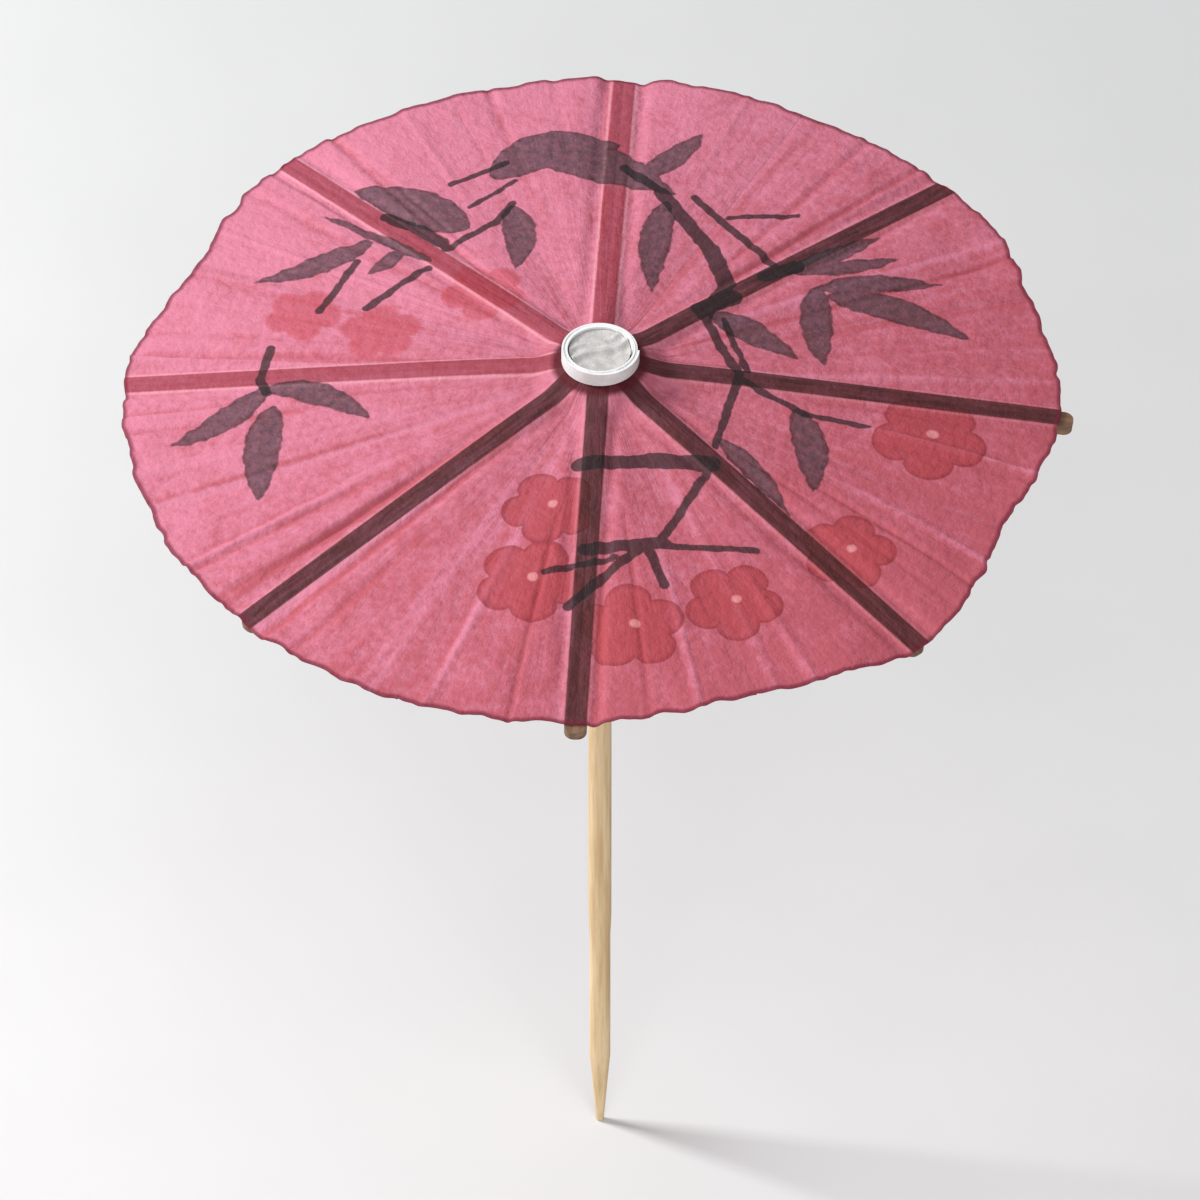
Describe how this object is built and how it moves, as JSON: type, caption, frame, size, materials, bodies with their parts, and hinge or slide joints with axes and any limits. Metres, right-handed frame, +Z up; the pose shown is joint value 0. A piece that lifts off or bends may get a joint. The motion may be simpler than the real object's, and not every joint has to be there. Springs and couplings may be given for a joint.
{
  "type": "cocktail umbrella pick",
  "caption": "Paper parasol on a pointed wooden stick: a printed canopy glued on hinged ribs, with stretchers, a sliding runner and a grip ring, which opens and folds.",
  "frame": {"origin": "on the stick's axis, in the middle of the straight grip above its point", "axes": "+Z up along the stick towards the canopy, +X along rib 1"},
  "size_m": [0.089, 0.089, 0.102],
  "materials": {
    "stick_wood": "bare birch",
    "hub_wood": "bare turned wood",
    "rib_wood": "brown stained split wood",
    "wire": "drawn wire",
    "canopy_paper": "printed tissue paper",
    "roll_paper": "uncoated white paper",
    "sleeve_paper": "blank newsprint",
    "ring_plastic": "milky plastic"
  },
  "bodies": {
    "frame": {"pick_stick": "stick_wood", "crown_hub": "hub_wood", "crown_wire": "wire", "canopy_centre": "canopy_paper", "top_roll": "roll_paper"},
    "rib_1": {"rib_1": "rib_wood", "rib_pin_1": "wire"},
    "stretcher_1": {"stretcher_1": "rib_wood"},
    "panel_1_left": {"canopy_panel_1_left": "canopy_paper"},
    "panel_1_right": {"canopy_panel_1_right": "canopy_paper"},
    "rib_2": {"rib_2": "rib_wood", "rib_pin_2": "wire"},
    "stretcher_2": {"stretcher_2": "rib_wood"},
    "panel_2_left": {"canopy_panel_2_left": "canopy_paper"},
    "panel_2_right": {"canopy_panel_2_right": "canopy_paper"},
    "rib_3": {"rib_3": "rib_wood", "rib_pin_3": "wire"},
    "stretcher_3": {"stretcher_3": "rib_wood"},
    "panel_3_left": {"canopy_panel_3_left": "canopy_paper"},
    "panel_3_right": {"canopy_panel_3_right": "canopy_paper"},
    "rib_4": {"rib_4": "rib_wood", "rib_pin_4": "wire"},
    "stretcher_4": {"stretcher_4": "rib_wood"},
    "panel_4_left": {"canopy_panel_4_left": "canopy_paper"},
    "panel_4_right": {"canopy_panel_4_right": "canopy_paper"},
    "rib_5": {"rib_5": "rib_wood", "rib_pin_5": "wire"},
    "stretcher_5": {"stretcher_5": "rib_wood"},
    "panel_5_left": {"canopy_panel_5_left": "canopy_paper"},
    "panel_5_right": {"canopy_panel_5_right": "canopy_paper"},
    "rib_6": {"rib_6": "rib_wood", "rib_pin_6": "wire"},
    "stretcher_6": {"stretcher_6": "rib_wood"},
    "panel_6_left": {"canopy_panel_6_left": "canopy_paper"},
    "panel_6_right": {"canopy_panel_6_right": "canopy_paper"},
    "rib_7": {"rib_7": "rib_wood", "rib_pin_7": "wire"},
    "stretcher_7": {"stretcher_7": "rib_wood"},
    "panel_7_left": {"canopy_panel_7_left": "canopy_paper"},
    "panel_7_right": {"canopy_panel_7_right": "canopy_paper"},
    "rib_8": {"rib_8": "rib_wood", "rib_pin_8": "wire"},
    "stretcher_8": {"stretcher_8": "rib_wood"},
    "panel_8_left": {"canopy_panel_8_left": "canopy_paper"},
    "panel_8_right": {"canopy_panel_8_right": "canopy_paper"},
    "runner": {"runner_hub": "hub_wood", "runner_wire": "wire", "runner_sleeve": "sleeve_paper"},
    "lock_ring": {"lock_ring": "ring_plastic"}
  },
  "joints": [
    {"name": "canopy_fold", "type": "hinge", "parent": "frame", "child": "rib_1", "pos_m": [0.0024, 0, 0.08274], "axis": [0, 1, 0], "range_deg": [0, 73]},
    {"name": "stretcher_1_fold", "type": "hinge", "parent": "rib_1", "child": "stretcher_1", "pos_m": [0.02225, 0, 0.0803], "axis": [0, 1, 0], "range_deg": [-146, 0]},
    {"name": "panel_1_left_fold", "type": "hinge", "parent": "rib_1", "child": "panel_1_left", "pos_m": [0.00248, 0, 0.08341], "axis": [0.9925, 0, -0.1219], "range_deg": [0, 55.99]},
    {"name": "panel_1_right_fold", "type": "hinge", "parent": "rib_1", "child": "panel_1_right", "pos_m": [0.00248, 0, 0.08341], "axis": [-0.9925, 0, 0.1219], "range_deg": [0, 55.99]},
    {"name": "rib_2_fold", "type": "hinge", "parent": "frame", "child": "rib_2", "pos_m": [0.0017, 0.0017, 0.08274], "axis": [-0.7071, 0.7071, 0], "range_deg": [0, 73]},
    {"name": "stretcher_2_fold", "type": "hinge", "parent": "rib_2", "child": "stretcher_2", "pos_m": [0.01573, 0.01573, 0.0803], "axis": [-0.7071, 0.7071, 0], "range_deg": [-146, 0]},
    {"name": "panel_2_left_fold", "type": "hinge", "parent": "rib_2", "child": "panel_2_left", "pos_m": [0.00176, 0.00176, 0.08341], "axis": [0.7018, 0.7018, -0.1219], "range_deg": [0, 55.99]},
    {"name": "panel_2_right_fold", "type": "hinge", "parent": "rib_2", "child": "panel_2_right", "pos_m": [0.00176, 0.00176, 0.08341], "axis": [-0.7018, -0.7018, 0.1219], "range_deg": [0, 55.99]},
    {"name": "rib_3_fold", "type": "hinge", "parent": "frame", "child": "rib_3", "pos_m": [0, 0.0024, 0.08274], "axis": [-1, 0, 0], "range_deg": [0, 73]},
    {"name": "stretcher_3_fold", "type": "hinge", "parent": "rib_3", "child": "stretcher_3", "pos_m": [0, 0.02225, 0.0803], "axis": [-1, 0, 0], "range_deg": [-146, 0]},
    {"name": "panel_3_left_fold", "type": "hinge", "parent": "rib_3", "child": "panel_3_left", "pos_m": [0, 0.00248, 0.08341], "axis": [0, 0.9925, -0.1219], "range_deg": [0, 55.99]},
    {"name": "panel_3_right_fold", "type": "hinge", "parent": "rib_3", "child": "panel_3_right", "pos_m": [0, 0.00248, 0.08341], "axis": [0, -0.9925, 0.1219], "range_deg": [0, 55.99]},
    {"name": "rib_4_fold", "type": "hinge", "parent": "frame", "child": "rib_4", "pos_m": [-0.0017, 0.0017, 0.08274], "axis": [-0.7071, -0.7071, 0], "range_deg": [0, 73]},
    {"name": "stretcher_4_fold", "type": "hinge", "parent": "rib_4", "child": "stretcher_4", "pos_m": [-0.01573, 0.01573, 0.0803], "axis": [-0.7071, -0.7071, 0], "range_deg": [-146, 0]},
    {"name": "panel_4_left_fold", "type": "hinge", "parent": "rib_4", "child": "panel_4_left", "pos_m": [-0.00176, 0.00176, 0.08341], "axis": [-0.7018, 0.7018, -0.1219], "range_deg": [0, 55.99]},
    {"name": "panel_4_right_fold", "type": "hinge", "parent": "rib_4", "child": "panel_4_right", "pos_m": [-0.00176, 0.00176, 0.08341], "axis": [0.7018, -0.7018, 0.1219], "range_deg": [0, 55.99]},
    {"name": "rib_5_fold", "type": "hinge", "parent": "frame", "child": "rib_5", "pos_m": [-0.0024, 0, 0.08274], "axis": [0, -1, 0], "range_deg": [0, 73]},
    {"name": "stretcher_5_fold", "type": "hinge", "parent": "rib_5", "child": "stretcher_5", "pos_m": [-0.02225, 0, 0.0803], "axis": [0, -1, 0], "range_deg": [-146, 0]},
    {"name": "panel_5_left_fold", "type": "hinge", "parent": "rib_5", "child": "panel_5_left", "pos_m": [-0.00248, 0, 0.08341], "axis": [-0.9925, 0, -0.1219], "range_deg": [0, 55.99]},
    {"name": "panel_5_right_fold", "type": "hinge", "parent": "rib_5", "child": "panel_5_right", "pos_m": [-0.00248, 0, 0.08341], "axis": [0.9925, 0, 0.1219], "range_deg": [0, 55.99]},
    {"name": "rib_6_fold", "type": "hinge", "parent": "frame", "child": "rib_6", "pos_m": [-0.0017, -0.0017, 0.08274], "axis": [0.7071, -0.7071, 0], "range_deg": [0, 73]},
    {"name": "stretcher_6_fold", "type": "hinge", "parent": "rib_6", "child": "stretcher_6", "pos_m": [-0.01573, -0.01573, 0.0803], "axis": [0.7071, -0.7071, 0], "range_deg": [-146, 0]},
    {"name": "panel_6_left_fold", "type": "hinge", "parent": "rib_6", "child": "panel_6_left", "pos_m": [-0.00176, -0.00176, 0.08341], "axis": [-0.7018, -0.7018, -0.1219], "range_deg": [0, 55.99]},
    {"name": "panel_6_right_fold", "type": "hinge", "parent": "rib_6", "child": "panel_6_right", "pos_m": [-0.00176, -0.00176, 0.08341], "axis": [0.7018, 0.7018, 0.1219], "range_deg": [0, 55.99]},
    {"name": "rib_7_fold", "type": "hinge", "parent": "frame", "child": "rib_7", "pos_m": [0, -0.0024, 0.08274], "axis": [1, 0, 0], "range_deg": [0, 73]},
    {"name": "stretcher_7_fold", "type": "hinge", "parent": "rib_7", "child": "stretcher_7", "pos_m": [0, -0.02225, 0.0803], "axis": [1, 0, 0], "range_deg": [-146, 0]},
    {"name": "panel_7_left_fold", "type": "hinge", "parent": "rib_7", "child": "panel_7_left", "pos_m": [0, -0.00248, 0.08341], "axis": [0, -0.9925, -0.1219], "range_deg": [0, 55.99]},
    {"name": "panel_7_right_fold", "type": "hinge", "parent": "rib_7", "child": "panel_7_right", "pos_m": [0, -0.00248, 0.08341], "axis": [0, 0.9925, 0.1219], "range_deg": [0, 55.99]},
    {"name": "rib_8_fold", "type": "hinge", "parent": "frame", "child": "rib_8", "pos_m": [0.0017, -0.0017, 0.08274], "axis": [0.7071, 0.7071, 0], "range_deg": [0, 73]},
    {"name": "stretcher_8_fold", "type": "hinge", "parent": "rib_8", "child": "stretcher_8", "pos_m": [0.01573, -0.01573, 0.0803], "axis": [0.7071, 0.7071, 0], "range_deg": [-146, 0]},
    {"name": "panel_8_left_fold", "type": "hinge", "parent": "rib_8", "child": "panel_8_left", "pos_m": [0.00176, -0.00176, 0.08341], "axis": [0.7018, -0.7018, -0.1219], "range_deg": [0, 55.99]},
    {"name": "panel_8_right_fold", "type": "hinge", "parent": "rib_8", "child": "panel_8_right", "pos_m": [0.00176, -0.00176, 0.08341], "axis": [-0.7018, 0.7018, 0.1219], "range_deg": [0, 55.99]},
    {"name": "runner_level", "type": "hinge", "parent": "stretcher_1", "child": "runner", "pos_m": [0.0024, 0, 0.07787], "axis": [0, 1, 0], "range_deg": [0, 73]},
    {"name": "ring_slide", "type": "slide", "parent": "runner", "child": "lock_ring", "axis": [0, 0, -1], "range_m": [0, 0.018]}
  ],
  "couplings": [
    {"joint": "stretcher_1_fold", "follows": "canopy_fold", "ratio": -2},
    {"joint": "panel_1_left_fold", "follows": "canopy_fold", "ratio": 0.767},
    {"joint": "panel_1_right_fold", "follows": "canopy_fold", "ratio": 0.767},
    {"joint": "rib_2_fold", "follows": "canopy_fold", "ratio": 1},
    {"joint": "stretcher_2_fold", "follows": "canopy_fold", "ratio": -2},
    {"joint": "panel_2_left_fold", "follows": "canopy_fold", "ratio": 0.767},
    {"joint": "panel_2_right_fold", "follows": "canopy_fold", "ratio": 0.767},
    {"joint": "rib_3_fold", "follows": "canopy_fold", "ratio": 1},
    {"joint": "stretcher_3_fold", "follows": "canopy_fold", "ratio": -2},
    {"joint": "panel_3_left_fold", "follows": "canopy_fold", "ratio": 0.767},
    {"joint": "panel_3_right_fold", "follows": "canopy_fold", "ratio": 0.767},
    {"joint": "rib_4_fold", "follows": "canopy_fold", "ratio": 1},
    {"joint": "stretcher_4_fold", "follows": "canopy_fold", "ratio": -2},
    {"joint": "panel_4_left_fold", "follows": "canopy_fold", "ratio": 0.767},
    {"joint": "panel_4_right_fold", "follows": "canopy_fold", "ratio": 0.767},
    {"joint": "rib_5_fold", "follows": "canopy_fold", "ratio": 1},
    {"joint": "stretcher_5_fold", "follows": "canopy_fold", "ratio": -2},
    {"joint": "panel_5_left_fold", "follows": "canopy_fold", "ratio": 0.767},
    {"joint": "panel_5_right_fold", "follows": "canopy_fold", "ratio": 0.767},
    {"joint": "rib_6_fold", "follows": "canopy_fold", "ratio": 1},
    {"joint": "stretcher_6_fold", "follows": "canopy_fold", "ratio": -2},
    {"joint": "panel_6_left_fold", "follows": "canopy_fold", "ratio": 0.767},
    {"joint": "panel_6_right_fold", "follows": "canopy_fold", "ratio": 0.767},
    {"joint": "rib_7_fold", "follows": "canopy_fold", "ratio": 1},
    {"joint": "stretcher_7_fold", "follows": "canopy_fold", "ratio": -2},
    {"joint": "panel_7_left_fold", "follows": "canopy_fold", "ratio": 0.767},
    {"joint": "panel_7_right_fold", "follows": "canopy_fold", "ratio": 0.767},
    {"joint": "rib_8_fold", "follows": "canopy_fold", "ratio": 1},
    {"joint": "stretcher_8_fold", "follows": "canopy_fold", "ratio": -2},
    {"joint": "panel_8_left_fold", "follows": "canopy_fold", "ratio": 0.767},
    {"joint": "panel_8_right_fold", "follows": "canopy_fold", "ratio": 0.767},
    {"joint": "runner_level", "follows": "canopy_fold", "ratio": 1}
  ]
}
